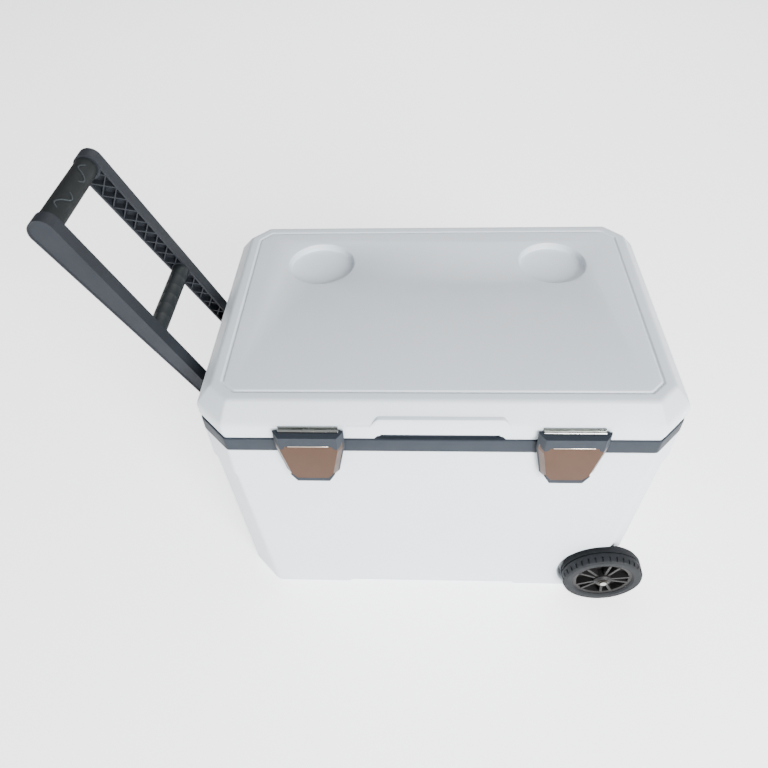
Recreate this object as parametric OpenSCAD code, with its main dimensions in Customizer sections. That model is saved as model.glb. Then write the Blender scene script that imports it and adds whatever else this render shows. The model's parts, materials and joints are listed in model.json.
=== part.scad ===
// Wheeled hard cooler: insulated tub, hinged lid with two front latches,
// folding tow handle at one end and two wheels on a fixed axle at the other.
// Millimetres. +Z is up, -Y is the latch side, -X is the handle end.

/* [Lid and outline] */
// Length of the flat lid top
top_len = 608; // [590:1:630]
// Width of the flat lid top
top_wid = 393; // [380:1:405]
// Corner chamfer of the lid top, measured along each side
top_leg = 27; // [20:1:34]
// Height of the lid top above the floor
lid_top_z = 462; // [455:1:480]
// How far the lid swells outside its top face
lid_swell = 22.6; // [21:0.1:24]
// Height of the lid above the rim
lid_h = 53; // [50:1:56]
// Radius of the two cup recesses
cup_r = 51; // [40:1:55]
// Depth of the cup recesses
cup_d = 12; // [6:1:16]

/* [Body] */
// Height of the dark rim band
band_h = 24; // [20:1:28]
// Height of the upper flange of the body, under the band
flange_h = 57; // [50:1:62]
// Swell of the body just under the flange
body_swell_top = 18.7; // [17:0.1:20]
// Swell of the body at the floor
body_swell_low = 13; // [10:0.5:16]
// Extra inward lean of the corner facets at the floor
facet_lean = 9; // [4:0.5:12]
// Wall of the moulded shells
wall = 4; // [3:0.5:5]

/* [Cavity] */
// Length of the ice cavity
cav_len = 560; // [540:1:566]
// Width of the ice cavity
cav_wid = 348; // [330:1:352]
// Height of the cavity floor
cav_floor = 45; // [40:1:60]
// Height of the cavity floor over the axle
cav_step_z = 95; // [90:1:110]

/* [Wheels] */
// Radius of the tyres
wheel_r = 64; // [60:0.5:64]
// Width of the tyres
tyre_w = 34; // [28:1:34]
// Distance of the axle from the middle of the body
axle_x = 276; // [270:1:280]
// Outer face of the tyres, from the middle of the body
tyre_face_y = 234; // [232:1:236]
// Radius of the axle
axle_r = 5; // [4:0.5:6]

/* [Tow handle] */
// Pivot to grip centre
arm_len = 320; // [290:1:325]
// Lean away from upright, in degrees
arm_lean = 26.7; // [20:0.1:35]
// Inside distance between the arms
arm_gap = 140; // [130:1:150]
// Thickness of each arm
arm_t = 21.5; // [18:0.5:24]
// Radius of the arm round the grip
arm_r_top = 18; // [16:0.5:19]
// Radius of the arm round its pivot
arm_r_low = 10; // [9:0.5:11]
// Radius of the rubber grip
grip_r = 16; // [14:0.5:16]

/* [Latches] */
// Distance of each latch from the middle
latch_x = 171; // [150:1:190]
// Width of a latch at its top
latch_w = 92; // [80:1:100]
// Height of a latch
latch_h = 94; // [85:1:98]
// Thickness of a latch
latch_t = 13.5; // [12:0.5:15]

/* [Hidden] */

big = 1400;
gap = 0.15;
hl = top_len / 2;
hw = top_wid / 2;
diag = 2 - sqrt(2);

// Heights
rim_z = lid_top_z - lid_h;
lid_wide_z = lid_top_z - 26;
lid_tuck_z = rim_z + 7;
band_top = rim_z - 0.4;
band_z = band_top - band_h;
step_z = band_z - flange_h;
neck_z = band_top - wall - gap;
base_recess = 6;

// Swells of the stacked outlines
lid_tuck = lid_swell - 2.6;
band_swell = lid_swell - 0.6;
flange_swell = band_swell - 0.4;
neck_swell = band_swell - wall - 0.2;

// Wheel wells and axle
axle_z = wheel_r;
well_r = wheel_r + 3.5;
well_y = tyre_face_y - tyre_w - 5;
kick_x = 317;
kick_z = 72;
kick_low_x = 256;
bush_r = 8;

// Handle pivot
end_x = hl + flange_swell;
pivot_x = -(end_x + 18.5);
pivot_z = step_z + 32;
arm_out = arm_gap / 2 + arm_t;
pin_r = 4;
cross_d = 123;
cross_r = 13;
reach_low = -pivot_x + arm_len * sin(arm_lean) + arm_r_top;
reach_high = axle_x + wheel_r;
// Middle of the body, so that the whole object is centred on the origin
body_x = (reach_low - reach_high) / 2;

// Latch hinge
face_y = hw + lid_swell;
leaf_t = 1.5;
knuckle_r = 2.6;
hinge_pin_r = 1.3;
latch_axis_y = -(face_y + leaf_t + knuckle_r);
latch_axis_z = lid_wide_z - 5;
latch_back_y = -(face_y + 3.4);
latch_top_z = latch_axis_z + 2;
hinge_w = 78;

// Rear hinge
rear_axis_y = face_y + leaf_t + knuckle_r + 0.2;
rear_axis_z = rim_z - 0.2;
rear_w = 96;

// Drain
drain_y = 130;
drain_z = cav_floor + 12;
drain_x = -(hl + body_swell_low + 1);

white = [0.86, 0.88, 0.89];
slate = [0.36, 0.39, 0.42];
black = [0.10, 0.11, 0.12];
steel = [0.72, 0.72, 0.70];
foam_c = [0.93, 0.88, 0.70];
bronze = [0.50, 0.38, 0.32];

module at_body() { translate([body_x, 0, 0]) children(); }

function leg_at(s) = top_leg + diag * s;

// Chamfered rectangle, swollen by s outside the lid's top face
module outline(s) {
  x = hl + s;
  y = hw + s;
  c = leg_at(s);
  polygon([[x - c, -y], [x, -y + c], [x, y - c], [x - c, y],
           [-x + c, y], [-x, y - c], [-x, -y + c], [-x + c, -y]]);
}

module slab(s, z0, z1) {
  translate([0, 0, z0]) linear_extrude(z1 - z0) outline(s);
}

// Everything beyond a leaning plane through (d0, z0) and (d1, z1)
module beyond(d0, z0, d1, z1, turn) {
  rotate([0, 0, turn])
    translate([d0, 0, z0])
      rotate([0, atan2(d1 - d0, z1 - z0), 0])
        translate([0, -big / 2, -big / 2]) cube([big / 2, big, big]);
}

function facet_d(s) = (2 * s + hl + hw - leg_at(s)) / sqrt(2);

// Slab whose eight sides lean from swell s0 at z0 to swell s1 at z1
module leaning_slab(s0, z0, s1, z1, lean) {
  difference() {
    slab(max(s0, s1), z0, z1);
    for (t = [0, 180]) beyond(hl + s0, z0, hl + s1, z1, t);
    for (t = [90, 270]) beyond(hw + s0, z0, hw + s1, z1, t);
    for (t = [45, 135, 225, 315])
      beyond(facet_d(s0) - lean, z0, facet_d(s1), z1, t);
  }
}

module y_rod(r, y0, y1) {
  translate([0, y0, 0]) rotate([-90, 0, 0]) cylinder(h = y1 - y0, r = r, $fn = 64);
}

module x_rod(r, x0, x1) {
  translate([x0, 0, 0]) rotate([0, 90, 0]) cylinder(h = x1 - x0, r = r, $fn = 64);
}

module both_ends_y() {
  children();
  mirror([0, 1, 0]) children();
}

module both_sides_x() {
  children();
  mirror([1, 0, 0]) children();
}

// ---------- body ----------

module well(r, y0) {
  both_ends_y()
    translate([axle_x, 0, axle_z]) y_rod(r, y0, big / 4);
}

// Cuts the lower corner at the wheel end so the cooler can tip onto its wheels
module kick(off) {
  translate([kick_x - off, 0, kick_z + off])
    rotate([0, atan2(kick_x - kick_low_x, kick_z), 0])
      translate([0, -big / 2, -big / 2]) cube([big / 2, big, big]);
}

// Raised middle of the underside, bevelled towards the long sides
module under_recess() {
  x0 = -141;
  x1 = 135;
  translate([x0, -big / 2, -1]) cube([x1 - x0, big, base_recess + 1]);
  both_ends_y()
    translate([x0, -(hw + body_swell_low - 12), base_recess])
      rotate([20, 0, 0])
        translate([0, -60, -60]) cube([x1 - x0, 60, 60 + 2]);
}

module body_outer() {
  difference() {
    union() {
      leaning_slab(body_swell_low, 0, body_swell_top, step_z, facet_lean);
      slab(flange_swell, step_z, band_z);
      slab(neck_swell, band_z, neck_z);
    }
    under_recess();
    well(well_r, well_y);
    kick(0);
  }
}

// Room inside the shell, kept a wall's thickness off every outer face
module body_room(off) {
  difference() {
    union() {
      leaning_slab(body_swell_low - off, base_recess + off, body_swell_top - off, step_z, facet_lean);
      slab(body_swell_top - off, step_z, neck_z + 1);
    }
    well(well_r + off, well_y - off);
    kick(off);
    both_ends_y()
      translate([-141 - off, -(hw + body_swell_low - 12 - off), base_recess + off])
        rotate([20, 0, 0])
          translate([0, -60, -60]) cube([276 + 2 * off, 60, 62]);
  }
}

module cavity_box(off, top) {
  translate([-cav_len / 2 - off, -cav_wid / 2 - off, cav_floor - off])
    cube([axle_x - 41 + cav_len / 2 + 2 * off, cav_wid + 2 * off, top - cav_floor + off]);
  translate([-cav_len / 2 - off, -cav_wid / 2 - off, cav_step_z - off])
    cube([cav_len + 2 * off, cav_wid + 2 * off, top - cav_step_z + off]);
}

keeper_z = band_z - 24;
rear_screw_z = [step_z + 14, step_z + 44];
bracket_y = [-36, 36];
bracket_z = [pivot_z - 18, pivot_z + 18];

module body_shell() {
  color(white) at_body() difference() {
    body_outer();
    body_room(wall);
    translate([axle_x, 0, axle_z]) y_rod(bush_r + 0.1, -big / 4, big / 4);
    for (s = [-1, 1], dx = [-12, 12])
      translate([s * latch_x + dx, 0, keeper_z])
        y_rod(1.7, -big / 4, -(hw + flange_swell - 12));
    for (s = [-1, 1], dx = [-32, 32], z = rear_screw_z)
      translate([s * latch_x + dx, 0, z])
        y_rod(1.7, hw + flange_swell - 12, big / 4);
    for (y = bracket_y, z = bracket_z)
      translate([0, y, z]) x_rod(2.1, -big / 2, -(end_x - 14));
    translate([0, drain_y, drain_z]) x_rod(12.1, -big / 2, -cav_len / 2 + 8);
  }
}

module body_foam() {
  color(foam_c) at_body() difference() {
    intersection() {
      body_room(wall + gap);
      translate([-big / 2, -big / 2, 0]) cube([big, big, neck_z - gap]);
    }
    cavity_box(3 + gap, band_top + 5);
    translate([axle_x, 0, axle_z]) y_rod(bush_r + 0.2, -big / 4, big / 4);
    translate([0, drain_y, drain_z]) x_rod(12.2, -big / 2, 0);
    for (s = [-1, 1], dx = [-12, 12])
      translate([s * latch_x + dx, 0, keeper_z])
        y_rod(2, -big / 4, -(hw + flange_swell - 16));
    for (s = [-1, 1], dx = [-32, 32], z = rear_screw_z)
      translate([s * latch_x + dx, 0, z])
        y_rod(2, hw + flange_swell - 16, big / 4);
    for (y = bracket_y, z = bracket_z)
      translate([0, y, z]) x_rod(2.4, -big / 2, -(end_x - 22));
  }
}

module body_liner() {
  color(white) at_body() difference() {
    cavity_box(3, neck_z);
    cavity_box(0, band_top + 5);
    translate([0, drain_y, drain_z]) x_rod(12.1, -big / 2, -cav_len / 2 + 8);
  }
}

grip_half = 74;
module rim_band() {
  color(slate) at_body() {
    difference() {
      slab(band_swell, band_z, band_top);
      slab(band_swell - wall, band_z - 1, band_top - wall);
      cavity_box(0, band_top + 5);
    }
    // upstand behind the lid's finger recess
    translate([-grip_half, -(face_y - 7), band_top - 1])
      cube([2 * grip_half, 4, 13]);
  }
}

// ---------- lid ----------

module lid_form(off) {
  difference() {
    union() {
      slab(lid_tuck - off, rim_z, lid_tuck_z + off);
      slab(lid_swell - off, lid_tuck_z + off, lid_top_z - off);
    }
    for (t = [0, 180]) beyond(hl + lid_swell - off, lid_wide_z, hl - off, lid_top_z, t);
    for (t = [90, 270]) beyond(hw + lid_swell - off, lid_wide_z, hw - off, lid_top_z, t);
    for (t = [45, 135, 225, 315])
      beyond(facet_d(lid_swell - off), lid_wide_z, facet_d(-off), lid_top_z, t);
  }
}

module cups(r, d) {
  for (s = [-1, 1])
    translate([s * 181, 98, lid_top_z - d]) cylinder(h = d + 20, r = r, $fn = 96);
}

// Pocket under the front edge for the fingers, open downwards and forwards
module finger_pocket(off) {
  low = grip_half + 11 + off;
  high = grip_half + 4 + off;
  translate([0, -(face_y - 14) + off, 0]) rotate([90, 0, 0]) linear_extrude(big / 4)
    polygon([[-low, rim_z - 1], [low, rim_z - 1], [high, rim_z + 12 + off], [-high, rim_z + 12 + off]]);
}

module lid_shell() {
  color(white) at_body() difference() {
    lid_form(0);
    difference() {
      lid_form(wall);
      cups(cup_r + wall, cup_d + wall);
      finger_pocket(wall);
    }
    translate([0, 0, rim_z - 1]) linear_extrude(1 + wall) outline(lid_tuck - wall);
    cups(cup_r, cup_d);
    finger_pocket(0);
    // shallow thumb scoop on the front face
    translate([-100, -big / 2, rim_z - 1])
      cube([200, big / 2 - (face_y - 2.4), lid_wide_z + 4 - rim_z + 1]);
    // bead line round the lid top
    translate([0, 0, lid_top_z - 1.6]) difference() {
      linear_extrude(5) outline(-13.6);
      translate([0, 0, -1]) linear_extrude(7) outline(-16.8);
    }
    for (s = [-1, 1], dx = [-28, 0, 28])
      translate([s * latch_x + dx, 0, latch_axis_z - 5])
        y_rod(1.5, -big / 4, -(face_y - 11));
    for (s = [-1, 1], dx = [-32, 32])
      translate([s * latch_x + dx, 0, rim_z + 17])
        y_rod(1.7, face_y - 11, big / 4);
  }
}

module lid_foam() {
  color(foam_c) at_body() difference() {
    lid_form(wall + gap);
    cups(cup_r + wall + gap, cup_d + wall + gap);
    finger_pocket(wall + gap);
    translate([0, 0, rim_z - 1]) linear_extrude(1 + wall + gap) outline(lid_tuck + 5);
    for (s = [-1, 1], dx = [-28, 0, 28])
      translate([s * latch_x + dx, 0, latch_axis_z - 5])
        y_rod(1.8, -big / 4, -(face_y - 14));
    for (s = [-1, 1], dx = [-32, 32])
      translate([s * latch_x + dx, 0, rim_z + 17])
        y_rod(2, face_y - 14, big / 4);
  }
}

// Inner pan of the lid with a shallow plug that sits in the cavity's mouth
plug_gap = 2.5;
module lid_liner() {
  color(white) at_body() difference() {
    union() {
      translate([0, 0, rim_z]) linear_extrude(wall) difference() {
        outline(lid_tuck - wall - gap);
        translate([-grip_half - 15.3, -big / 2])
          square([2 * grip_half + 30.6, big / 2 - (face_y - 18.3)]);
      }
      translate([-cav_len / 2 + plug_gap, -cav_wid / 2 + plug_gap, rim_z - 9])
        cube([cav_len - 2 * plug_gap, cav_wid - 2 * plug_gap, 10]);
    }
    // hollow back of the plug
    translate([-cav_len / 2 + 6, -cav_wid / 2 + 6, rim_z - 6])
      cube([cav_len - 12, cav_wid - 12, 7]);
    gasket_ring(9.4, 2.2);
  }
}

module gasket_ring(w, h) {
  inner = 4;
  translate([0, 0, rim_z - 0.01]) linear_extrude(h) difference() {
    square([cav_len + 2 * inner + 2 * w, cav_wid + 2 * inner + 2 * w], center = true);
    square([cav_len + 2 * inner, cav_wid + 2 * inner], center = true);
  }
}

module lid_gasket() {
  color(black) at_body() gasket_body();
}

module gasket_body() {
  translate([0, 0, rim_z]) linear_extrude(2.1) difference() {
    square([cav_len + 26.4, cav_wid + 26.4], center = true);
    square([cav_len + 8.4, cav_wid + 8.4], center = true);
  }
}

// ---------- hinges ----------

// One row of knuckles along X; every second one belongs to the same leaf
module knuckles(w, first, bore) {
  n = 5;
  step = w / n;
  for (i = [first:2:n - 1])
    translate([-w / 2 + i * step + 0.2, 0, 0]) difference() {
      x_rod(knuckle_r, 0, step - 0.4);
      x_rod(bore, -1, step + 1);
    }
}

module hinge_pin(w) {
  x_rod(hinge_pin_r, -w / 2 - 0.6, w / 2 + 0.6);
}

// Leaf on the fixed side of a front latch hinge
module latch_lid_leaf() {
  w = hinge_w;
  step = w / 5;
  difference() {
    union() {
      translate([-w / 2, -face_y - leaf_t, latch_axis_z - 8])
        cube([w, leaf_t, 13]);
      for (i = [0:2:4])
        translate([-w / 2 + i * step + 0.2, latch_axis_y, latch_axis_z - 1.6])
          cube([step - 0.4, knuckle_r + 0.5, 3.2]);
      for (i = [0:2:4])
        translate([-w / 2 + i * step + 0.2, latch_axis_y, latch_axis_z])
          x_rod(knuckle_r, 0, step - 0.4);
    }
    translate([0, latch_axis_y, latch_axis_z]) x_rod(hinge_pin_r + 0.02, -w, w);
    for (dx = [-28, 0, 28])
      translate([dx, 0, latch_axis_z - 5]) y_rod(1.5, -big / 4, 0);
  }
}

module latch_lid_leaves() {
  color(steel) at_body() both_sides_x() translate([latch_x, 0, 0]) latch_lid_leaf();
}

module latch_pins() {
  color(steel) at_body() both_sides_x()
    translate([latch_x, latch_axis_y, latch_axis_z]) hinge_pin(hinge_w);
}

// Countersunk screw along +Y, head outwards
module front_screw(head_r, shank_r, l) {
  rotate([-90, 0, 0]) {
    cylinder(h = 0.7, r = head_r, $fn = 32);
    translate([0, 0, 0.6]) cylinder(h = l, r = shank_r, $fn = 32);
  }
}

module latch_lid_screws() {
  color(steel) at_body() both_sides_x()
    for (dx = [-28, 0, 28])
      translate([latch_x + dx, -face_y - leaf_t - 0.7, latch_axis_z - 5])
        front_screw(2.4, 1.4, 11);
}

// Leaf that moves with the latch
module latch_leaf() {
  w = hinge_w;
  step = w / 5;
  color(steel) difference() {
    union() {
      translate([-w / 2, latch_back_y - leaf_t, latch_axis_z - 19])
        cube([w, leaf_t, 15.6]);
      for (i = [1:2:3])
        translate([-w / 2 + i * step + 0.2, latch_back_y - leaf_t, latch_axis_z - 4])
          cube([step - 0.4, leaf_t, 4]);
      for (i = [1:2:3])
        translate([-w / 2 + i * step + 0.2, latch_axis_y, latch_axis_z])
          x_rod(knuckle_r, 0, step - 0.4);
    }
    translate([0, latch_axis_y, latch_axis_z]) x_rod(hinge_pin_r + 0.05, -w, w);
    for (dx = [-20, 20])
      translate([dx, 0, latch_axis_z - 14]) y_rod(1.6, -big / 4, 0);
  }
}

// Screws that hold the leaf to the latch, driven from behind
module latch_screws() {
  color(steel) for (dx = [-20, 20])
    translate([dx, latch_back_y, latch_axis_z - 14]) rotate([180, 0, 0]) {
      y_rod(2.6, -0.6, 0);
      y_rod(1.5, -0.1, 8);
    }
}

// ---------- latches ----------

latch_half = latch_w / 2;
latch_edge = 3;
latch_slope = 38;
latch_top_slope = 8;
latch_points = [
  [latch_half - 21, latch_top_z - latch_h], [latch_half - 10, latch_top_z - 80],
  [latch_half, latch_top_z - 29], [latch_half, latch_top_z],
  [-latch_half, latch_top_z], [-latch_half, latch_top_z - 29],
  [-latch_half + 10, latch_top_z - 80], [-latch_half + 21, latch_top_z - latch_h]];

// Solid latch, straight at the back and sloping to a smaller front, shrunk by e
module latch_form(e) {
  translate([0, latch_back_y, 0]) rotate([90, 0, 0]) difference() {
    linear_extrude(latch_t - e) polygon(latch_points);
    for (i = [0:7]) {
      p = latch_points[i];
      q = latch_points[(i + 1) % 8];
      slope = i == 3 ? latch_top_slope : latch_slope;
      translate([p[0], p[1], latch_edge])
        rotate([0, 0, atan2(q[1] - p[1], q[0] - p[0])])
          rotate([-slope, 0, 0])
            translate([-big / 4, -big / 2 + e, -big / 4]) cube([big / 2, big / 2, big / 2]);
    }
  }
}

// Where the metal plate lies: below the hinge, down to the lower edge
module plate_zone(e) {
  front = latch_back_y - latch_t;
  difference() {
    translate([-latch_w, front - 1, latch_top_z - latch_h + 4 + e])
      cube([2 * latch_w, latch_t - 5 + 1 - e, latch_h - 22 - 2 * e]);
    // rounded lugs of the frame over the plate's two upper corners
    for (s = [-1, 1])
      translate([s * (latch_half - 9), 0, latch_top_z - 18]) y_rod(6 + e, -big / 4, 0);
  }
}

module latch_frame() {
  color(slate) difference() {
    latch_form(0);
    difference() {
      plate_zone(0);
      latch_form(1.6);
    }
    // room for the hinge
    translate([-hinge_w / 2 - 1, latch_axis_y - 4.3, latch_axis_z - 3.6])
      cube([hinge_w + 2, 40, 20]);
    translate([-hinge_w / 2 - 0.3, latch_back_y - leaf_t - 0.15, latch_axis_z - 19.3])
      cube([hinge_w + 0.6, 10, 30]);
    for (dx = [-20, 20])
      translate([dx, 0, latch_axis_z - 14]) y_rod(1.6, latch_back_y - 9, 0);
    // pocket behind, over the keeper
    translate([-24, latch_back_y - 5, keeper_z - 12]) cube([48, 12, 24]);
  }
}

module latch_plate() {
  color(bronze) intersection() {
    plate_zone(0.1);
    difference() {
      latch_form(0.2);
      latch_form(1.5);
    }
  }
}

module place_latch(s) { at_body() translate([s * latch_x, 0, 0]) children(); }

module latch_left_frame() { place_latch(-1) latch_frame(); }
module latch_left_plate() { place_latch(-1) latch_plate(); }
module latch_left_leaf() { place_latch(-1) latch_leaf(); }
module latch_left_screws() { place_latch(-1) latch_screws(); }
module latch_right_frame() { place_latch(1) latch_frame(); }
module latch_right_plate() { place_latch(1) latch_plate(); }
module latch_right_leaf() { place_latch(1) latch_leaf(); }
module latch_right_screws() { place_latch(1) latch_screws(); }

module latch_keepers() {
  color(steel) at_body() both_sides_x() translate([latch_x, 0, keeper_z]) difference() {
    union() {
      translate([-20, -(hw + flange_swell) - 1.5, -9]) cube([40, 1.5, 18]);
      translate([-6, -(hw + flange_swell) - 3.4, -4]) cube([12, 3.4, 6]);
    }
    for (dx = [-12, 12]) translate([dx, 0, 0]) y_rod(1.7, -big / 4, 0);
  }
}

module keeper_screws() {
  color(steel) at_body() both_sides_x() for (dx = [-12, 12])
    translate([latch_x + dx, -(hw + flange_swell) - 2.2, keeper_z]) front_screw(3, 1.6, 11);
}

// ---------- rear hinges ----------

module rear_lid_leaf() {
  w = rear_w;
  step = w / 5;
  difference() {
    union() {
      translate([-w / 2, face_y, rear_axis_z + 3.2]) cube([w, leaf_t, 23]);
      for (i = [1:2:3])
        translate([-w / 2 + i * step + 0.2, face_y, rear_axis_z - 0.5])
          cube([step - 0.4, leaf_t + 1, 5]);
      for (i = [1:2:3])
        translate([-w / 2 + i * step + 0.2, rear_axis_y, rear_axis_z])
          x_rod(knuckle_r, 0, step - 0.4);
    }
    translate([0, rear_axis_y, rear_axis_z]) x_rod(hinge_pin_r + 0.05, -w, w);
    for (dx = [-32, 32])
      translate([dx, 0, rim_z + 17]) y_rod(1.7, 0, big / 4);
  }
}

module rear_body_leaf() {
  w = rear_w;
  step = w / 5;
  y0 = hw + band_swell;
  difference() {
    union() {
      translate([-w / 2, y0, step_z + 4]) cube([w, leaf_t, rear_axis_z - 3.2 - step_z - 4]);
      for (i = [0:2:4])
        translate([-w / 2 + i * step + 0.2, y0, rear_axis_z - 4])
          cube([step - 0.4, leaf_t + 1.6, 4.5]);
      for (i = [0:2:4])
        translate([-w / 2 + i * step + 0.2, rear_axis_y, rear_axis_z])
          x_rod(knuckle_r, 0, step - 0.4);
    }
    translate([0, rear_axis_y, rear_axis_z]) x_rod(hinge_pin_r + 0.02, -w, w);
    for (dx = [-32, 32], z = rear_screw_z)
      translate([dx, 0, z]) y_rod(1.7, 0, big / 4);
  }
}

module rear_lid_leaves() {
  color(steel) at_body() both_sides_x() translate([latch_x, 0, 0]) rear_lid_leaf();
}
module rear_body_leaves() {
  color(steel) at_body() both_sides_x() translate([latch_x, 0, 0]) rear_body_leaf();
}
module rear_pins() {
  color(steel) at_body() both_sides_x()
    translate([latch_x, rear_axis_y, rear_axis_z]) hinge_pin(rear_w);
}

module rear_screw(l) {
  mirror([0, 1, 0]) front_screw(3.2, 1.6, l);
}

module rear_lid_screws() {
  color(steel) at_body() both_sides_x() for (dx = [-32, 32])
    translate([latch_x + dx, face_y + leaf_t + 0.7, rim_z + 17]) rear_screw(11);
}
module rear_body_screws() {
  color(steel) at_body() both_sides_x() for (dx = [-32, 32], z = rear_screw_z)
    translate([latch_x + dx, hw + band_swell + leaf_t + 0.7, z]) rear_screw(12);
}

// ---------- tow handle ----------

module at_handle() {
  at_body() translate([pivot_x, 0, pivot_z]) rotate([0, -arm_lean, 0]) children();
}

// Side view of an arm, pivot at the origin, grip end up
module arm_outline(inset) {
  r1 = arm_r_low - inset;
  r2 = arm_r_top - inset;
  tilt = asin((r2 - r1) / arm_len);
  e = 0.998;
  circle(r = r1, $fn = 64);
  translate([0, arm_len]) circle(r = r2, $fn = 64);
  polygon([[r1 * cos(tilt) * e, -r1 * sin(tilt)], [r2 * cos(tilt) * e, arm_len - r2 * sin(tilt)],
           [-r2 * cos(tilt) * e, arm_len - r2 * sin(tilt)], [-r1 * cos(tilt) * e, -r1 * sin(tilt)]]);
}

module arm_slab(inset, y0, y1) {
  translate([0, y1, 0]) rotate([90, 0, 0]) linear_extrude(y1 - y0) arm_outline(inset);
}

// Rear arm; the front one is its mirror image
module arm() {
  y0 = arm_gap / 2;
  rim = 3;
  pocket = 13;
  color(slate) difference() {
    union() {
      difference() {
        arm_slab(0, y0, y0 + arm_t);
        difference() {
          arm_slab(rim, y0 - 1, y0 + pocket);
          y_rod(arm_r_low + 1, -big / 4, big / 4);
          translate([0, 0, arm_len]) y_rod(arm_r_top + 1, -big / 4, big / 4);
          translate([0, 0, cross_d]) y_rod(cross_r + 1, -big / 4, big / 4);
        }
      }
      // crossed ribs in the pocket
      intersection() {
        arm_slab(rim - 0.2, y0 + 1, y0 + pocket + 0.2);
        for (i = [0:14], a = [-38, 38])
          translate([0, y0 - 2, 8 + i * 21.5]) rotate([0, a, 0])
            translate([-40, 0, -0.9]) cube([80, pocket + 4, 1.8]);
      }
    }
    y_rod(pin_r + 0.05, -big / 4, big / 4);
    for (z = [arm_len, cross_d])
      translate([0, 0, z]) y_rod(2.2, y0 - 1, y0 + arm_t - 4.7);
    // shallow panel on the outer face
    arm_slab(2.6, y0 + arm_t - 0.8, y0 + arm_t + 1);
  }
}

module handle_arm_rear() { at_handle() arm(); }
module handle_arm_front() { at_handle() mirror([0, 1, 0]) arm(); }

module handle_core() {
  h = arm_gap / 2 - gap;
  color(slate) at_handle() translate([0, 0, arm_len]) difference() {
    y_rod(11, -h, h);
    y_rod(2.2, -h - 1, -h + 22);
    y_rod(2.2, h - 22, h + 1);
  }
}

module handle_grip() {
  h = arm_gap / 2 - 0.4;
  color(black) at_handle() translate([0, 0, arm_len]) difference() {
    y_rod(grip_r, -h, h);
    y_rod(11.1, -h - 1, h + 1);
  }
}

module handle_crossbar() {
  h = arm_gap / 2 - gap;
  color(slate) at_handle() translate([0, 0, cross_d]) difference() {
    y_rod(cross_r, -h, h);
    y_rod(2.2, -h - 1, -h + 22);
    y_rod(2.2, h - 22, h + 1);
  }
}

// Steel dowels hidden inside the arms, the core and the crossbar
module handle_dowels() {
  color(steel) at_handle() both_ends_y() for (z = [arm_len, cross_d])
    translate([0, 0, z]) y_rod(2.1, arm_gap / 2 - 18, arm_out - 5);
}

module handle_bracket() {
  ear_y = arm_gap / 2 - 15;
  ear_t = 14.4;
  plate = 5.5;
  color(slate) at_body() difference() {
    union() {
      translate([-end_x - plate, -arm_gap / 2 - 16, pivot_z - 26]) cube([plate, arm_gap + 32, 50]);
      both_ends_y() {
        translate([pivot_x, 0, pivot_z]) y_rod(11, ear_y, ear_y + ear_t);
        translate([pivot_x, ear_y, pivot_z - 10.9]) cube([-end_x - pivot_x - 1, ear_t, 21.8]);
      }
    }
    translate([pivot_x, 0, pivot_z]) y_rod(pin_r + 0.02, -big / 4, big / 4);
    for (y = bracket_y, z = bracket_z)
      translate([0, y, z]) x_rod(2.1, -big / 2, 0);
  }
}

module handle_pin() {
  color(steel) at_body() translate([pivot_x, 0, pivot_z]) difference() {
    union() {
      y_rod(pin_r, -arm_out - 4, arm_out + 4);
      y_rod(7, -arm_out - 4, -arm_out - 1.6);
    }
    translate([0, arm_out + 2, 0]) difference() {
      y_rod(pin_r + 1, -0.6, 0.6);
      y_rod(pin_r - 0.8, -1, 1);
    }
  }
}

module handle_clips() {
  color(steel) at_body() translate([pivot_x, 0, pivot_z]) {
    translate([0, arm_out + 2, 0]) difference() {
      y_rod(7, -0.5, 0.5);
      y_rod(pin_r - 0.7, -1, 1);
      translate([-1.6, -2, 0]) cube([3.2, 4, 20]);
    }
    both_ends_y() difference() {
      y_rod(8, arm_out + 0.35, arm_out + 1.2);
      y_rod(pin_r + 0.1, 0, big / 4);
    }
  }
}

module bracket_screws() {
  color(steel) at_body() for (y = bracket_y, z = bracket_z)
    translate([0, y, z]) {
      x_rod(4.2, -end_x - 7.6, -end_x - 5.5);
      x_rod(2, -end_x - 6, -end_x + 14);
    }
}

// ---------- axle and wheels ----------

module at_axle() { at_body() translate([axle_x, 0, axle_z]) children(); }

axle_half = tyre_face_y + 4.4;

module axle() {
  color(steel) at_axle() y_rod(axle_r, -axle_half, axle_half);
}

module axle_tube() {
  h = well_y - wall - 2;
  color(steel) at_axle() difference() {
    y_rod(bush_r, -h, h);
    y_rod(bush_r - 1.4, -h - 1, h + 1);
  }
}

module axle_bushes() {
  color(black) at_axle() both_ends_y() difference() {
    union() {
      y_rod(bush_r, well_y - wall - 1.8, well_y + 0.2);
      y_rod(bush_r + 4, well_y + 0.1, well_y + 2);
    }
    y_rod(axle_r + 0.02, 0, big / 4);
  }
}

module axle_washers() {
  color(steel) at_axle() both_ends_y() difference() {
    y_rod(10, well_y + 2.05, well_y + 3);
    y_rod(axle_r + 0.04, 0, big / 4);
  }
}

// Push-on caps that keep the wheels on the axle
module axle_caps() {
  color(steel) at_axle() both_ends_y() difference() {
    union() {
      y_rod(8.5, tyre_face_y + 1.6, tyre_face_y + 2.6);
      y_rod(6.4, tyre_face_y + 2.5, axle_half - 0.2);
    }
    y_rod(axle_r + 0.02, 0, big / 4);
  }
}

hub_r = wheel_r - 17;

module ring_profile(points) {
  rotate([-90, 0, 0]) rotate_extrude($fn = 128) polygon(points);
}

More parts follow.
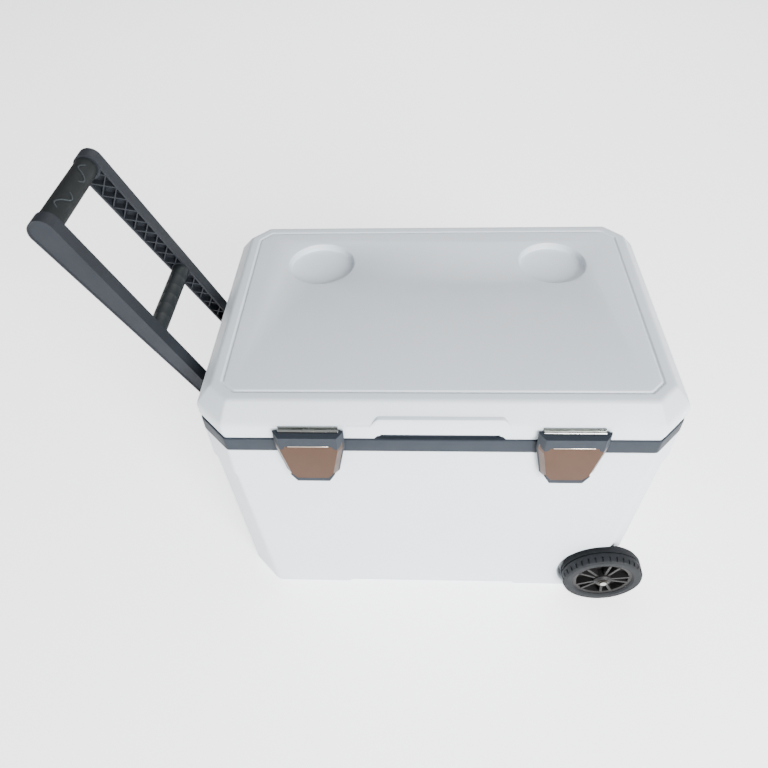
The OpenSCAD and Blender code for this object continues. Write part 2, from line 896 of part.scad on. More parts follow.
// Front tyre, centred on the axle, outer face towards -Y
module tyre() {
  y1 = -(tyre_face_y - tyre_w);
  y0 = -tyre_face_y;
  r = wheel_r;
  blocks = 36;
  color(black) difference() {
    ring_profile([[hub_r, y0 + 3], [hub_r + 3, y0 + 0.5], [r - 6, y0], [r - 1.5, y0 + 2.5],
                  [r, y0 + 6], [r, y1 - 8], [r - 3, y1 - 2], [r - 7, y1],
                  [hub_r + 3, y1 - 0.5], [hub_r, y1 - 3]]);
    for (i = [0:blocks - 1])
      rotate([0, i * 360 / blocks, 0])
        translate([r - 2.2, y0 - 1, -1.3]) cube([6, 11, 2.6]);
    translate([0, y0 + 16, 0]) difference() {
      y_rod(r + 2, 0, 2.4);
      y_rod(r - 2.2, -1, 4);
    }
  }
}

module hub() {
  y1 = -(tyre_face_y - tyre_w) + 0.6;
  y0 = -tyre_face_y;
  color(black) difference() {
    union() {
      ring_profile([[hub_r - 5, y0 + 5], [hub_r - 0.1, y0 + 4], [hub_r - 0.1, y1 - 4],
                    [hub_r - 5, y1 - 5]]);
      ring_profile([[3, y0 - 1.2], [11, y0 - 1.2], [14, y0 + 2], [14, y1 + 1], [3, y1 + 1]]);
      // web and ten ribs in five pairs
      y_cyl = y0 + 16;
      translate([0, y_cyl, 0]) y_rod(hub_r - 4, 0, 4);
      for (i = [0:4], s = [-1, 1])
        rotate([0, i * 72 + s * 11, 0])
          translate([9, y0 + 4, -2]) cube([hub_r - 13, 14, 4]);
    }
    y_rod(axle_r + 0.05, -big / 4, big / 4);
  }
}

module tyre_front() { at_axle() tyre(); }
module hub_front() { at_axle() hub(); }
module tyre_rear() { at_axle() mirror([0, 1, 0]) tyre(); }
module hub_rear() { at_axle() mirror([0, 1, 0]) hub(); }

// ---------- drain ----------

module at_drain() { at_body() translate([0, drain_y, drain_z]) children(); }

module drain_bung() {
  color(slate) at_drain() difference() {
    union() {
      x_rod(18, drain_x - 4, drain_x - 0.2);
      x_rod(12, drain_x - 1, -cav_len / 2 + 5);
    }
    x_rod(8.5, -big / 2, 0);
  }
}

module drain_nut() {
  color(slate) at_drain() difference() {
    translate([-cav_len / 2 + 0.2, 0, 0]) rotate([0, 90, 0]) cylinder(h = 4, r = 11.9 + 5, $fn = 6);
    x_rod(12.1, -big / 2, 0);
    translate([-big / 2, -50, -62]) cube([big, 100, 50 + 0.2]);
  }
}

module drain_plug() {
  color(slate) at_drain() difference() {
    union() {
      x_rod(8.42, drain_x - 4.4, drain_x + 30);
      x_rod(14, drain_x - 14, drain_x - 4.4);
    }
    for (i = [0:7]) rotate([i * 45, 0, 0])
      translate([drain_x - 20, -1.5, 12.6]) cube([14, 3, 4]);
    translate([drain_x + 22, 0, 0]) difference() {
      x_rod(9, 0, 3);
      x_rod(7, -1, 4);
    }
  }
}

module drain_seal() {
  color(black) at_drain() translate([drain_x + 23.5, 0, 0]) rotate([0, 90, 0])
    rotate_extrude($fn = 64) translate([7.72, 0]) circle(r = 0.7, $fn = 24);
}

body_shell();
body_foam();
body_liner();
rim_band();
lid_shell();
lid_foam();
lid_liner();
lid_gasket();
latch_left_frame();
latch_left_plate();
latch_left_leaf();
latch_left_screws();
latch_right_frame();
latch_right_plate();
latch_right_leaf();
latch_right_screws();
latch_lid_leaves();
latch_pins();
latch_lid_screws();
latch_keepers();
keeper_screws();
rear_lid_leaves();
rear_body_leaves();
rear_pins();
rear_lid_screws();
rear_body_screws();
handle_arm_front();
handle_arm_rear();
handle_core();
handle_grip();
handle_crossbar();
handle_dowels();
handle_bracket();
handle_pin();
handle_clips();
bracket_screws();
axle();
axle_tube();
axle_bushes();
axle_washers();
axle_caps();
tyre_front();
hub_front();
tyre_rear();
hub_rear();
drain_bung();
drain_nut();
drain_plug();
drain_seal();
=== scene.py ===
import json
import math

import bmesh
import bpy
from mathutils import Matrix, Vector

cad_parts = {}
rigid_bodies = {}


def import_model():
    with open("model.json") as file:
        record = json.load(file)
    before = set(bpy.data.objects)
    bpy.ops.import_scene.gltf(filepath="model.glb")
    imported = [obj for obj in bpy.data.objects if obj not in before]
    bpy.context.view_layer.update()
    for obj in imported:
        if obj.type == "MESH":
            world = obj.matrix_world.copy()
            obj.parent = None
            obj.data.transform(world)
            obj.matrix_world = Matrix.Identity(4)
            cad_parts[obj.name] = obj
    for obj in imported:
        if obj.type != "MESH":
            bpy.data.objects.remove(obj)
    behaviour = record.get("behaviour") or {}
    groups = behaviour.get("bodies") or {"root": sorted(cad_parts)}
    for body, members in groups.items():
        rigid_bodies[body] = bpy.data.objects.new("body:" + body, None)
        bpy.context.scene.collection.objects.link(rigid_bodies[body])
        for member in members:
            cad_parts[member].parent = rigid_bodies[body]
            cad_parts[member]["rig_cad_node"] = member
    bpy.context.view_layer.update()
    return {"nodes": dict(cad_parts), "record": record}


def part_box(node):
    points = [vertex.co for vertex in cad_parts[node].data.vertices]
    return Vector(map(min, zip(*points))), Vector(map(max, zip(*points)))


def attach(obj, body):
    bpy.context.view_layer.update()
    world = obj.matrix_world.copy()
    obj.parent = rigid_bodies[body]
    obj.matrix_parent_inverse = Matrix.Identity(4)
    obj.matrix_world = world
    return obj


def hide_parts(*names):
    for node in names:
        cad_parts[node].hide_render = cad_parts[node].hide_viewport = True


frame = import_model()
NODES = frame["nodes"]

# ---------- sizes in metres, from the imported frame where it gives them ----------

LID_LO, LID_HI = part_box("lid_shell")
LINER_LO, LINER_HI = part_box("body_liner")
TYRE_LO, TYRE_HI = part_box("tyre_front")
BX = (LID_LO.x + LID_HI.x) / 2

# Every outline is given by how far it swells beyond the edge of the lid's flat top
LID_SWELL = 0.0226
TUCK = LID_SWELL - 0.0026
BAND_SWELL = LID_SWELL - 0.0006
FLANGE_SWELL = BAND_SWELL - 0.0004
NECK_SWELL = BAND_SWELL - 0.0042
FOOT_SWELL, STEP_SWELL = 0.013, 0.0187
HL = (LID_HI.x - LID_LO.x) / 2 - LID_SWELL
HW = (LID_HI.y - LID_LO.y) / 2 - LID_SWELL
FACE_Y = HW + LID_SWELL
LEG = 0.027  # of the chamfered corners
LEG_GAIN = 2 - math.sqrt(2)  # for each unit of swell
FOOT_LEAN = 0.009  # how much further in the body's chamfers stand at its foot

TOP_Z, RIM_Z = LID_HI.z, LID_LO.z
WIDE_Z = TOP_Z - 0.026  # where the lid's slope starts
BAND_TOP, BAND_Z = RIM_Z - 0.0004, RIM_Z - 0.0244
BODY_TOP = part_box("body_shell")[1].z
STEP_Z = BAND_Z - 0.057
WALL = 0.004

BEAD_OUT, BEAD_IN, BEAD_SIDE, BEAD_D = -0.0126, -0.0180, 0.0022, 0.0020
CUP_X, CUP_Y, CUP_R, CUP_D = 0.181, 0.098, 0.051, 0.012
LIP_FLAT, LIP_END = 0.079, 0.099  # half lengths of its level part and of all of it
LIP_TOP, LIP_FOOT, LIP_SINK = TOP_Z - 0.0155, RIM_Z + 0.0095, 0.0165
POCKET_LOW, POCKET_HIGH = 0.086, 0.0775  # half widths at its mouth and its top
POCKET_H, POCKET_D = 0.012, 0.014
UPSTAND_X = 0.074
MOUTH_X, MOUTH_Y = 0.280, 0.174

AXLE_X = (TYRE_LO.x + TYRE_HI.x) / 2
AXLE_Z = (TYRE_LO.z + TYRE_HI.z) / 2
WELL_R = (TYRE_HI.z - TYRE_LO.z) / 2 + 0.0035
WELL_Y = -TYRE_HI.y - 0.005
KICK_X, KICK_RUN, KICK_Z = 0.317, 0.061, 0.072  # the slope under the end with the wheels
RECESS_X0, RECESS_X1, RECESS_D = -0.141, 0.135, 0.006  # between the feet
RAISED_FLOOR_X, RAISED_FLOOR_Z = 0.2381, 0.0949 - 0.003

BIG = 0.7  # reaches past the object on any side
MERGE = 2e-6  # points nearer than this are one
HAIR = 0.0001  # keeps apart what would coincide


# ---------- mesh helpers ----------

def link(name, data):
    o = bpy.data.objects.new(name, data)
    bpy.context.scene.collection.objects.link(o)
    return o


def built(name, bm):
    """An object of what the bmesh holds."""
    mesh = bpy.data.meshes.new(name)
    bm.to_mesh(mesh)
    bm.free()
    return link(name, mesh)


def skin(name, verts, faces):
    """An object of these faces, with its normals turned outwards."""
    mesh = bpy.data.meshes.new(name)
    mesh.from_pydata(verts, [], faces)
    mesh.update()
    bm = bmesh.new()
    bm.from_mesh(mesh)
    bmesh.ops.recalc_face_normals(bm, faces=bm.faces)
    bm.to_mesh(mesh)
    bm.free()
    return link(name, mesh)


def ring(swell, z, radius, lean=0.0, steps=6):
    """The chamfered outline at height z, with its eight corners rounded."""
    x, y = HL + swell, HW + swell
    c = LEG + LEG_GAIN * swell + lean * math.sqrt(2)
    corners = [(x - c, -y), (x, -y + c), (x, y - c), (x - c, y),
               (-x + c, y), (-x, y - c), (-x, -y + c), (-x + c, -y)]
    cut = radius * math.tan(math.radians(22.5))
    points = []
    for i, p in enumerate(corners):
        p = Vector(p)
        a = (Vector(corners[i - 1]) - p).normalized() * cut
        b = (Vector(corners[(i + 1) % 8]) - p).normalized() * cut
        for k in range(steps + 1):
            t = k / steps
            points.append(p + a * (1 - t) ** 2 + b * t ** 2)
    return [(BX + q.x, q.y, z) for q in points]


def loft(name, rings):
    """A closed skin through rings of equal length."""
    n = len(rings[0])
    verts = [v for r in rings for v in r]
    faces = []
    for j in range(len(rings) - 1):
        for i in range(n):
            a, b = j * n + i, j * n + (i + 1) % n
            faces.append((a, b, b + n, a + n))
    faces.append(tuple(reversed(range(n))))
    faces.append(tuple(range((len(rings) - 1) * n, len(rings) * n)))
    return skin(name, verts, faces)


def block(name, lo, hi, radius=0.0):
    """A block, with all its edges rounded where a radius is given."""
    bm = bmesh.new()
    bmesh.ops.create_cube(bm, size=1.0)
    for v in bm.verts:
        v.co = Vector((lo[i] + (v.co[i] + 0.5) * (hi[i] - lo[i]) for i in range(3)))
    if radius:
        bmesh.ops.bevel(bm, geom=bm.edges[:], offset=radius, segments=4,
                        profile=0.5, affect="EDGES", clamp_overlap=True)
    return built(name, bm)


def lathe(name, profile, centre, axis="z", steps=96):
    """A closed solid of revolution through (radius, distance along axis) points."""
    verts, faces, n = [], [], len(profile)
    for i in range(steps):
        a = 2 * math.pi * i / steps
        for r, d in profile:
            across, up = r * math.cos(a), r * math.sin(a)
            p = (across, up, d) if axis == "z" else (across, d, up)
            verts.append(Vector(p) + Vector(centre))
    for i in range(steps):
        for k in range(n - 1):
            a, b = i * n + k, ((i + 1) % steps) * n + k
            faces.append((a, b, b + 1, a + 1))
    faces.append(tuple(i * n for i in range(steps)))
    faces.append(tuple(i * n + n - 1 for i in range(steps)))
    return skin(name, verts, faces)


def carve(target, *cutters, how="DIFFERENCE"):
    """Applies each cutter to the target, and removes it unless it is a CAD node."""
    for c in cutters:
        m = target.modifiers.new("cut", "BOOLEAN")
        m.operation, m.solver, m.object = how, "EXACT", c
        bpy.context.view_layer.update()
        dg = bpy.context.evaluated_depsgraph_get()
        mesh = bpy.data.meshes.new_from_object(target.evaluated_get(dg))
        target.modifiers.clear()
        target.data = mesh
        if "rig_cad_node" not in c:
            bpy.data.objects.remove(c)


def smooth(o, angle=32):
    """Smooth shading that keeps real edges crisp."""
    bm = bmesh.new()
    bm.from_mesh(o.data)
    bmesh.ops.remove_doubles(bm, verts=bm.verts, dist=MERGE)
    limit = math.radians(angle)
    for f in bm.faces:
        f.smooth = True
    for e in bm.edges:
        e.smooth = len(e.link_faces) == 2 and e.calc_face_angle(0) < limit
    bm.to_mesh(o.data)
    bm.free()


def soften(o, width, segments=3):
    """Rounds an object's sharp edges with modifiers only."""
    m = o.modifiers.new("weld", "WELD")
    m.merge_threshold = MERGE
    m = o.modifiers.new("flat", "DECIMATE")
    m.decimate_type, m.angle_limit = "DISSOLVE", math.radians(0.4)
    m = o.modifiers.new("round", "BEVEL")
    m.width, m.segments = width, segments
    m.limit_method, m.angle_limit = "ANGLE", math.radians(34)
    m.use_clamp_overlap = True
    m = o.modifiers.new("normals", "WEIGHTED_NORMAL")
    m.keep_sharp = True


# ---------- profiles ----------

def between(a, b, t):
    return tuple(a[i] + (b[i] - a[i]) * t for i in range(2))


def blended(p0, corner, p1, steps=6):
    """Points on a curve that rounds off a corner."""
    out = []
    for k in range(steps + 1):
        t = k / steps
        out.append(tuple(p0[i] * (1 - t) ** 2 + 2 * corner[i] * t * (1 - t) + p1[i] * t ** 2
                         for i in range(2)))
    return out


def rounded_profile(rows):
    """Points from (swell, z, rounding) rows, each rounded by that length along its sides."""
    points = [row[:2] for row in rows]
    out = [points[0]]
    for i in range(1, len(rows) - 1):
        p, cut = points[i], rows[i][2]
        if cut <= 0:
            out.append(p)
            continue
        a, b = points[i - 1], points[i + 1]
        out += blended(between(p, a, min(0.49, cut / math.dist(a, p))), p,
                       between(p, b, min(0.49, cut / math.dist(p, b))))
    out.append(points[-1])
    return out


def eased(t):
    """From 0 to 1, level at both ends."""
    t = min(1.0, max(0.0, t))
    return t * t * (3 - 2 * t)


# ---------- materials ----------

def linear(srgb):
    """Linear colour from 0 to 255 values."""
    return tuple(((v / 255 + 0.055) / 1.055) ** 2.4 if v > 10 else v / 255 / 12.92
                 for v in srgb)


def moulded(name, srgb, rough, grain, bump, vary=0.04, metal=0.0, scuff=0.3, streak=None,
            spec=0.5):
    """Plastic, rubber or metal: tint drift, fine grain, and scuffs in the roughness."""
    mat = bpy.data.materials.new(name)
    mat.use_nodes = True
    nt = mat.node_tree
    bsdf = nt.nodes["Principled BSDF"]
    bsdf.inputs["Metallic"].default_value = metal
    bsdf.inputs["Specular IOR Level"].default_value = spec
    coord = nt.nodes.new("ShaderNodeTexCoord").outputs["Object"]

    def noise(scale, detail, source=coord):
        n = nt.nodes.new("ShaderNodeTexNoise")
        n.inputs["Scale"].default_value = scale
        n.inputs["Detail"].default_value = detail
        nt.links.new(source, n.inputs["Vector"])
        return n.outputs["Fac"]

    def ramp(value, p0, p1, c0, c1):
        r = nt.nodes.new("ShaderNodeValToRGB")
        r.color_ramp.elements[0].position, r.color_ramp.elements[1].position = p0, p1
        r.color_ramp.elements[0].color, r.color_ramp.elements[1].color = c0, c1
        nt.links.new(value, r.inputs["Fac"])
        return r.outputs["Color"]

    base = linear(srgb)
    dark = tuple(v * (1 - vary) for v in base) + (1,)
    light = tuple(min(1.0, v * (1 + vary)) for v in base) + (1,)
    nt.links.new(ramp(noise(7.0, 4), 0.35, 0.65, dark, light), bsdf.inputs["Base Color"])
    lo, hi = rough - 0.09 * scuff, rough + 0.2 * scuff
    nt.links.new(ramp(noise(38.0, 6), 0.42, 0.68, (lo, lo, lo, 1), (hi, hi, hi, 1)),
                 bsdf.inputs["Roughness"])
    source = coord
    if streak:
        mapping = nt.nodes.new("ShaderNodeMapping")
        mapping.inputs["Scale"].default_value = streak
        nt.links.new(coord, mapping.inputs["Vector"])
        source = mapping.outputs["Vector"]
    b = nt.nodes.new("ShaderNodeBump")
    b.inputs["Strength"].default_value = bump
    b.inputs["Distance"].default_value = 0.0004
    nt.links.new(noise(grain, 3, source), b.inputs["Height"])
    nt.links.new(b.outputs["Normal"], bsdf.inputs["Normal"])
    return mat


ALONG_X = (0.04, 1, 1)  # stretches the grain into streaks
FINISHES = {
    "white_plastic": dict(srgb=(210, 218, 225), rough=0.46, grain=1500, bump=0.32, vary=0.012),
    "inner_plastic": dict(srgb=(214, 218, 221), rough=0.38, grain=1500, bump=0.06, vary=0.012),
    "slate_plastic": dict(srgb=(40, 45, 52), rough=0.55, grain=2100, bump=0.14, vary=0.06,
                          spec=0.15),
    "handle_plastic": dict(srgb=(37, 40, 45), rough=0.52, grain=2100, bump=0.16, vary=0.07,
                           spec=0.15),
    "crossbar_plastic": dict(srgb=(27, 32, 34), rough=0.52, grain=2100, bump=0.2, vary=0.07,
                             spec=0.28),
    "wheel_plastic": dict(srgb=(27, 26, 26), rough=0.54, grain=1900, bump=0.12, vary=0.08,
                          spec=0.25),
    "tyre": dict(srgb=(25, 27, 30), rough=0.76, grain=1300, bump=0.3, vary=0.08, spec=0.28),
    "grip_rubber": dict(srgb=(20, 24, 25), rough=0.68, grain=1700, bump=0.3, vary=0.08,
                        spec=0.24),
    "grip_line": dict(srgb=(44, 50, 53), rough=0.6, grain=1700, bump=0.1, vary=0.05, spec=0.3),
    "seal_rubber": dict(srgb=(30, 31, 32), rough=0.72, grain=1500, bump=0.2, vary=0.05,
                        spec=0.3),
    "stainless": dict(srgb=(168, 171, 168), rough=0.3, grain=900, bump=0.08, metal=1.0,
                      streak=ALONG_X),
    "dark_steel": dict(srgb=(66, 62, 58), rough=0.46, grain=900, bump=0.1, vary=0.08,
                       metal=0.9),
    "bronze_plate": dict(srgb=(80, 61, 50), rough=0.36, grain=900, bump=0.02, vary=0.08,
                         metal=1.0, scuff=0.35, streak=ALONG_X),
    # The plate's bronze made far lighter: a painted highlight for the rolled upper edge of the
    # latch plates
    "bronze_painted_highlight": dict(srgb=(196, 180, 166), rough=0.26, grain=500, bump=0.04, vary=0.03,
                        metal=1.0),
    "bush_plastic": dict(srgb=(44, 44, 46), rough=0.5, grain=1500, bump=0.1),
    "foam": dict(srgb=(222, 206, 156), rough=0.9, grain=700, bump=0.5, vary=0.06),
}
MATS = {name: moulded(name, **look) for name, look in FINISHES.items()}


def dress(o, slot, body=None, finish=None):
    """Gives the slot's finish, or another, and lets a new piece ride on its body."""
    o.data.materials.clear()
    o.data.materials.append(MATS[finish or slot])
    if "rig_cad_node" not in o:
        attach(o, body)


# ---------- lid ----------

LID_PROFILE = rounded_profile([
    (TUCK - 0.0042, RIM_Z + 0.0042, 0),
    (TUCK - 0.0042, RIM_Z, 0),
    (TUCK, RIM_Z, 0.0012),
    (TUCK, RIM_Z + 0.007, 0.0012),
    (LID_SWELL, RIM_Z + 0.0085, 0.0012),
    (LID_SWELL, WIDE_Z, 0.007),
    (0.0, TOP_Z, 0.0045),
    (BEAD_OUT, TOP_Z, 0.0008),
    (BEAD_OUT - BEAD_SIDE, TOP_Z - BEAD_D, 0.0005),
    (BEAD_IN + BEAD_SIDE, TOP_Z - BEAD_D, 0.0005),
    (BEAD_IN, TOP_Z, 0.0008),
    (-0.030, TOP_Z, 0)])
lid = loft("lid_moulding", [ring(swell, z, 0.007) for swell, z in LID_PROFILE])

CUP_PROFILE = [
    (HAIR, -CUP_D), (CUP_R - 0.005, -CUP_D), (CUP_R - 0.0015, -CUP_D + 0.0015),
    (CUP_R, -CUP_D + 0.005), (CUP_R, -0.0035), (CUP_R + 0.0012, -0.001), (CUP_R + 0.004, HAIR),
    (CUP_R + 0.004, 0.01), (HAIR, 0.01)]
cups = [lathe("cup", CUP_PROFILE, (BX + side * CUP_X, CUP_Y, TOP_Z)) for side in (-1, 1)]


def lip_section(x):
    """Section of the lifting lip: a soft shelf on the slope that sinks away at both ends."""
    top = LIP_TOP - LIP_SINK * eased((abs(x) - LIP_FLAT) / (LIP_END - LIP_FLAT))
    face = LID_SWELL - HAIR
    edge = face - 0.2 * max(0.0, top - WIDE_Z)
    points = [(0.008, LIP_FOOT), (face, LIP_FOOT), (face, min(WIDE_Z - 0.003, top - 0.006)),
              (min(face, edge + 0.0004), top - 0.0036), (edge - 0.0002, top - 0.0018),
              (edge - 0.0011, top - 0.0005), (edge - 0.0026, top), (0.003, top + 0.0003)]
    return [(BX + x, -HW - swell, z) for swell, z in points]


left_end = [-LIP_END + (LIP_END - LIP_FLAT) * k / 8 for k in range(9)]
lip = loft("lip", [lip_section(x) for x in left_end + [-x for x in reversed(left_end)]])
carve(lid, lip, how="UNION")

pocket_side = [(POCKET_LOW, RIM_Z - 0.02)]
pocket_side += [(POCKET_LOW + (POCKET_HIGH - POCKET_LOW) * eased(k / 8),
                 RIM_Z - 0.0005 + POCKET_H * k / 8) for k in range(9)]
pocket_outline = pocket_side + [(-x, z) for x, z in reversed(pocket_side)]
pocket = loft("pocket", [[(BX + x, y, z) for x, z in pocket_outline]
                         for y in (-FACE_Y - 0.05, -FACE_Y + POCKET_D)])
carve(lid, *cups, pocket, NODES["lid_foam"])
smooth(lid)
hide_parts("lid_shell")
dress(lid, "white_plastic", "lid")

# ---------- rim band ----------

BAND_PROFILE = rounded_profile([
    (BAND_SWELL - WALL, BAND_Z, 0),
    (BAND_SWELL, BAND_Z, 0.0014),
    (BAND_SWELL, BAND_TOP, 0.0022),
    (BAND_SWELL - 0.008, BAND_TOP, 0)])
band = loft("rim_band_moulding", [ring(swell, z, 0.008) for swell, z in BAND_PROFILE])
neck = loft("neck", [ring(BAND_SWELL - WALL, z, 0.006)
                     for z in (BAND_Z - 0.01, BAND_TOP - WALL)])
mouth = block("mouth", (BX - MOUTH_X, -MOUTH_Y, BAND_Z - 0.02),
              (BX + MOUTH_X, MOUTH_Y, BAND_TOP + 0.02))
carve(band, neck, mouth)
smooth(band)
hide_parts("rim_band")
dress(band, "slate_plastic", "cooler_body")

upstand = block("rim_upstand", (BX - UPSTAND_X, -FACE_Y + 0.007, BAND_TOP - 0.001),
                (BX + UPSTAND_X, -FACE_Y + 0.011, BAND_TOP + 0.012), 0.0012)
smooth(upstand, 60)
dress(upstand, "slate_plastic", "cooler_body")


# ---------- body ----------

def body_ring(swell, z):
    """The body's outline, whose chamfers lean in and get rounder towards the foot."""
    down = 1 - min(1.0, max(0.0, z / STEP_Z))
    return ring(swell, z, 0.010 + 0.006 * down, lean=FOOT_LEAN * down)


BODY_PROFILE = rounded_profile([
    (FOOT_SWELL - 0.040, 0.0, 0),
    (FOOT_SWELL, 0.0, 0.012),
    (STEP_SWELL, STEP_Z, 0.0016),
    (FLANGE_SWELL, STEP_Z + 0.0015, 0.0014),
    (FLANGE_SWELL, BAND_Z - 0.0004, 0.0012),
    (NECK_SWELL, BAND_Z - 0.0004, 0),
    (NECK_SWELL, BODY_TOP, 0)])
shell = loft("body_moulding", [body_ring(swell, z) for swell, z in BODY_PROFILE])


def wheel_well(side):
    """A round well that flares where it meets the body's face."""
    profile = [(HAIR, WELL_Y), (WELL_R, WELL_Y), (WELL_R, HW + 0.0085),
               (WELL_R + 0.0012, HW + 0.0115), (WELL_R + 0.006, HW + 0.016),
               (WELL_R + 0.006, HW + 0.1), (HAIR, HW + 0.1)]
    return lathe("well", [(r, side * y) for r, y in profile], (AXLE_X, 0, AXLE_Z), "y", 128)


def recess_edge(side):
    """Chamfer over the recess between the feet, sinking away past its ends."""
    section = ((0.0142, 0.0150), (0.0075, 0.0045), (0.0075, -0.05), (0.05, -0.05),
               (0.05, 0.0150))
    fade = ((0.009, 0.012), (0.006, 0.010), (0.002, 0.003), (-0.002, 0.0))
    stations = [(RECESS_X0 - past, drop) for past, drop in fade]
    stations += [(RECESS_X1 + past, drop) for past, drop in reversed(fade)]
    return loft("recess_edge", [[(BX + x, side * (HW + y), z - drop) for y, z in section]
                                for x, drop in stations])


kick = block("kick", (0, -BIG, -BIG), (BIG, BIG, BIG))
kick.data.transform(Matrix.Translation((BX + KICK_X, 0, KICK_Z))
                    @ Matrix.Rotation(math.atan2(KICK_RUN, KICK_Z), 4, "Y"))
recess = block("recess", (BX + RECESS_X0, -BIG, -0.1), (BX + RECESS_X1, BIG, RECESS_D))
upper_cavity = block("upper_cavity", (LINER_LO.x - HAIR, LINER_LO.y - HAIR, RAISED_FLOOR_Z),
                     (LINER_HI.x + HAIR, LINER_HI.y + HAIR, 0.6))
lower_cavity = block("lower_cavity", (LINER_LO.x - HAIR, LINER_LO.y - HAIR, LINER_LO.z - HAIR),
                     (BX + RAISED_FLOOR_X, LINER_HI.y + HAIR, 0.3))
carve(shell, wheel_well(-1), wheel_well(1), kick, recess, recess_edge(-1), recess_edge(1),
      upper_cavity, lower_cavity, NODES["body_foam"])
smooth(shell)
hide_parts("body_shell")
dress(shell, "white_plastic", "cooler_body")

# ---------- tow handle: grip and crossbar ----------

# Shares of a rod's radius: at its ends, along its length, and in the crossbar's rings
ROD_END, ROD_FULL, ROD_RING = 0.93, 0.985, 0.972


def rod_frame(node):
    """Middle, half length and radius of a rod that lies along Y."""
    lo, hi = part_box(node)
    return (lo + hi) / 2, (hi.y - lo.y) / 2, (hi.z - lo.z) / 2


def rod(name, node, profile, bore):
    """A bored rod along Y; its profile is in shares of the half length and the radius."""
    mid, half_len, radius = rod_frame(node)
    loop = [(radius * r, half_len * d) for d, r in profile]
    loop += [(bore, half_len * profile[-1][0]), (bore, half_len * profile[0][0])]
    verts, faces = [], []
    n, steps = len(loop), 96
    for i in range(steps):
        t = 2 * math.pi * i / steps
        verts += [(mid.x + r * math.cos(t), mid.y + d, mid.z + r * math.sin(t)) for r, d in loop]
        a, b = i * n, ((i + 1) % steps) * n
        faces += [(a + k, b + k, b + (k + 1) % n, a + (k + 1) % n) for k in range(n)]
    o = skin(name, verts, faces)
    smooth(o, 40)
    return o


def round_end(n, size):
    """Points that round off a rod's first end."""
    return [(-1 + size * (1 - math.cos(math.pi / 2 * k / n)),
             ROD_END + (ROD_FULL - ROD_END) * math.sin(math.pi / 2 * k / n))
            for k in range(n + 1)]


def mirrored(profile):
    return [(-d, r) for d, r in reversed(profile)]


def wave(name, start, end, phase, turn):
    """A thin raised wavy line on the grip, whose ends sink into it."""
    mid, half_len, radius = rod_frame("handle_grip")
    curve = bpy.data.curves.new(name, "CURVE")
    curve.dimensions, curve.bevel_depth, curve.bevel_resolution = "3D", 0.0011, 2
    curve.use_fill_caps = True
    spline = curve.splines.new("NURBS")
    count = 25
    spline.points.add(count - 1)
    for k in range(count):
        t = k / (count - 1)
        a = turn + 0.5 * math.sin(phase + t * math.pi * 1.9)
        r = radius * ROD_FULL + 0.0002 - 0.0011 * (abs(2 * t - 1) ** 6)
        spline.points[k].co = (mid.x + r * math.cos(a),
                               mid.y + half_len * (start + (end - start) * t),
                               mid.z + r * math.sin(a), 1)
    spline.use_endpoint_u = True
    o = link(name + "_curve", curve)
    bpy.context.view_layer.update()
    mesh = bpy.data.meshes.new_from_object(
        o.evaluated_get(bpy.context.evaluated_depsgraph_get()))
    bpy.data.objects.remove(o)
    mesh.name = name
    line = link(name, mesh)
    smooth(line, 60)
    dress(line, "grip_rubber", "tow_handle", "grip_line")


grip_end = round_end(5, 0.03)
grip = rod("grip_sleeve", "handle_grip", grip_end + mirrored(grip_end), 0.0111)
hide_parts("handle_grip")
dress(grip, "grip_rubber", "tow_handle")
for i, turn in enumerate((0.85, 0.85 + math.pi)):
    wave(f"grip_wave_{i}_a", -0.76, -0.20, 0.2, turn)
    wave(f"grip_wave_{i}_b", 0.20, 0.76, math.pi + 0.2, turn)

bar_end = round_end(4, 0.02)
bar_rings = [(-0.64 + k * 0.32 + d, share) for k in range(5) for d, share in
             ((-0.014, ROD_FULL), (-0.005, ROD_RING), (0.005, ROD_RING), (0.014, ROD_FULL))]
crossbar = rod("crossbar_sleeve", "handle_crossbar", bar_end + bar_rings + mirrored(bar_end),
               0.0022)
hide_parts("handle_crossbar")
dress(crossbar, "handle_plastic", "tow_handle", "crossbar_plastic")

# ---------- latches: lower lip of the frame and rolled upper edge of the plate ----------

LIP_OUTER = [(-0.0292, 0.0180), (-0.0299, 0.0156), (-0.0221, 0.0014),
             (0.0221, 0.0014), (0.0299, 0.0156), (0.0292, 0.0180)]
LIP_WIDE = [(x * 1.015, z - 0.0006) for x, z in LIP_OUTER]
LIP_INNER = [(0.0284, 0.0178), (0.0211, 0.0084), (-0.0211, 0.0084), (-0.0284, 0.0178)]
EDGE_PROFILE = [(HAIR, -0.0268), (0.0008, -0.0268), (0.0011, -0.0262),
                (0.0011, 0.0262), (0.0008, 0.0268), (HAIR, 0.0268)]

for side in ("left", "right"):
    frame_lo, frame_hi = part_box(f"latch_{side}_frame")
    plate_lo, plate_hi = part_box(f"latch_{side}_plate")
    mid_x, bottom = (frame_lo.x + frame_hi.x) / 2, frame_lo.z
    front_y, back_y = plate_lo.y - 0.00015, frame_lo.y + 0.0085
    rings = [[(mid_x + x, y, bottom + z) for x, z in outline + LIP_INNER] for y, outline in
             ((front_y, LIP_OUTER), (front_y + 0.0008, LIP_WIDE), (back_y, LIP_WIDE))]
    lower_lip = loft(f"latch_{side}_lower_lip", rings)
    soften(lower_lip, 0.0006, 2)
    dress(lower_lip, "slate_plastic", f"latch_{side}")
    rolled = lathe(f"latch_{side}_rolled_edge", EDGE_PROFILE, (0, 0, 0), "z", 20)
    rolled.data.transform(Matrix.Translation((mid_x, plate_lo.y + 0.0006, plate_hi.z + 0.0002))
                          @ Matrix.Rotation(math.pi / 2, 4, "Y"))
    smooth(rolled, 50)
    # The rolled edge gets the lightened bronze, a painted highlight along the plate's top
    dress(rolled, "bronze_plate", f"latch_{side}", "bronze_painted_highlight")

# ---------- carried-over CAD nodes ----------

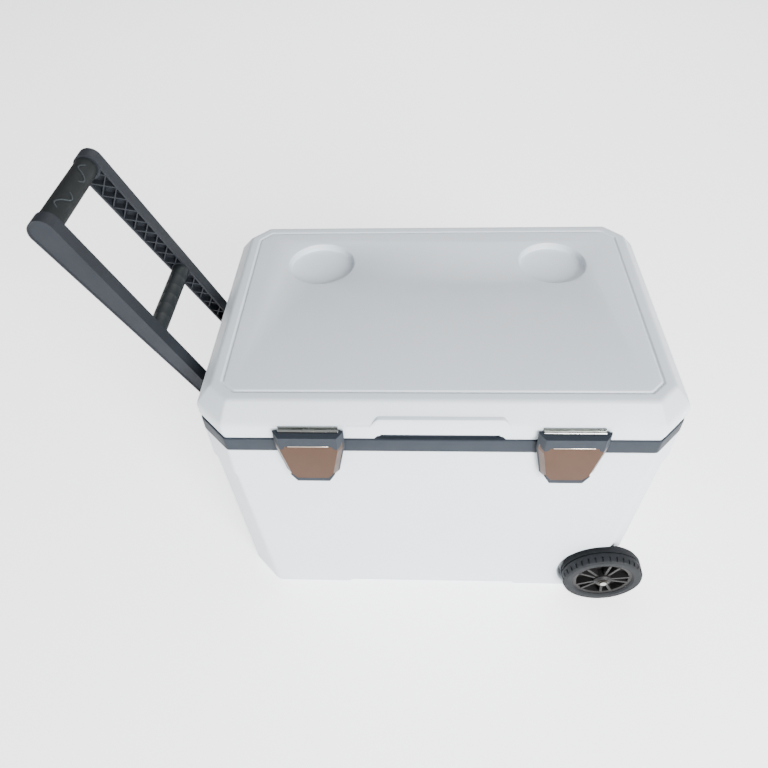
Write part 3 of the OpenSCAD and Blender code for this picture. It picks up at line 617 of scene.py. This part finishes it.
# Widths of their rounded edges
EDGE_WIDTHS = {"latch_left_frame": 0.0012, "latch_right_frame": 0.0012,
               "handle_arm_front": 0.0008, "handle_arm_rear": 0.0008, "handle_bracket": 0.0015,
               "tyre_front": 0.0006, "tyre_rear": 0.0006, "hub_front": 0.0006,
               "hub_rear": 0.0006, "body_liner": 0.003, "lid_liner": 0.0012}
SMALL_EDGE = 0.0003
slots = {s["node"]: s["material_slot"] for s in frame["record"]["subparts"]}
for name, node in NODES.items():
    if node.hide_render:
        continue
    dress(node, slots[name])
    soften(node, EDGE_WIDTHS.get(name, SMALL_EDGE), 3 if name in EDGE_WIDTHS else 2)

# ---------- floor, lights, camera ----------

FLOOR_HALF, FLOOR_GLOW = 6.0, 1.7

floor_paper = moulded("floor_paper", (250, 250, 250), 0.9, 300, 0.02, vary=0.002)
floor_shader = floor_paper.node_tree.nodes["Principled BSDF"]
floor_shader.inputs["Emission Color"].default_value = (1, 1, 1, 1)
floor_shader.inputs["Emission Strength"].default_value = FLOOR_GLOW
floor_grid = bmesh.new()
bmesh.ops.create_grid(floor_grid, x_segments=8, y_segments=8, size=FLOOR_HALF)
floor = built("floor", floor_grid)
floor.data.materials.append(floor_paper)


def softbox(name, place, aim, size, power):
    light = bpy.data.lights.new(name, "AREA")
    light.shape, light.size, light.size_y, light.energy = "RECTANGLE", size, size, power
    o = link(name, light)
    o.location = place
    o.rotation_euler = (Vector(aim) - Vector(place)).to_track_quat("-Z", "Y").to_euler()


softbox("key", (1.6, -2.9, 1.75), (0.08, 0, 0.2), 1.6, 330)
softbox("top", (0.2, 0.3, 3.0), (0.08, 0, 0.2), 2.6, 8)
softbox("left", (-2.6, -1.2, 1.2), (0.05, 0, 0.25), 1.6, 10)
softbox("back", (0.4, 2.8, 2.0), (0.05, 0, 0.3), 2.2, 40)
world = bpy.data.worlds.new("studio")
world.use_nodes = True
world.node_tree.nodes["Background"].inputs["Color"].default_value = (0.95, 0.97, 1.0, 1)
world.node_tree.nodes["Background"].inputs["Strength"].default_value = 0.42
bpy.context.scene.world = world

YAW, PITCH, ROLL = -0.066143, 0.805275, 0.044580
CAMERA_AT = (BX - 0.032475, -0.78193, TOP_Z + 0.640688)
cam_data = bpy.data.cameras.new("camera")
cam_data.sensor_width = 36
cam_data.lens = 31.82
camera = link("camera", cam_data)
ahead = Vector((math.sin(YAW) * math.cos(PITCH), math.cos(YAW) * math.cos(PITCH),
                -math.sin(PITCH)))
right = Vector((math.cos(YAW), -math.sin(YAW), 0))
down = ahead.cross(right)
axis_x = right * math.cos(ROLL) + down * math.sin(ROLL)
axis_y = right * math.sin(ROLL) - down * math.cos(ROLL)
facing = Matrix((axis_x, axis_y, -ahead)).transposed()
camera.matrix_world = Matrix.Translation(CAMERA_AT) @ facing.to_4x4()
bpy.context.scene.camera = camera
